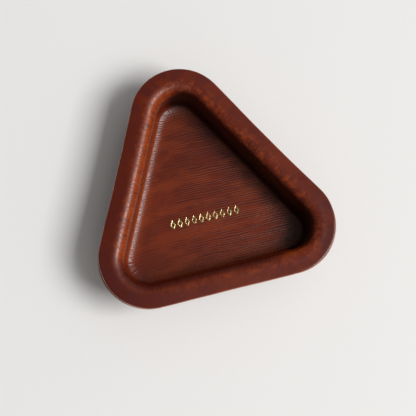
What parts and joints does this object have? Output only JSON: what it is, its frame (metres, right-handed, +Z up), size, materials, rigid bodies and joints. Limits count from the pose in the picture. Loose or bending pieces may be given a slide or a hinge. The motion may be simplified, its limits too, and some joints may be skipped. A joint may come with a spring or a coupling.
{
  "type": "leather catch-all tray",
  "caption": "Shallow wet-moulded leather catch-all tray, a rounded triangle in plan, with a rolled rim, a flat burnished flange and a gilt row stamped on its floor.",
  "frame": {"origin": "on the underside of the floor, below the mean of the three corner centres", "axes": "+Z up out of the tray, +X along the front side to the right, +Y towards the back corner"},
  "size_m": [0.1159, 0.1107, 0.025],
  "materials": {
    "grain_leather": "vegetable-tanned, dyed red-brown, waxed and burnished",
    "contact_cement": "dried contact cement",
    "lining_leather": "vegetable-tanned, flesh side out, slicked",
    "gilt_foil": "hot-stamped gilt foil"
  },
  "bodies": {
    "root": {"grain_ply": "grain_leather", "cement_film": "contact_cement", "lining_ply": "lining_leather", "gilt_lozenges": "gilt_foil"}
  },
  "joints": []
}
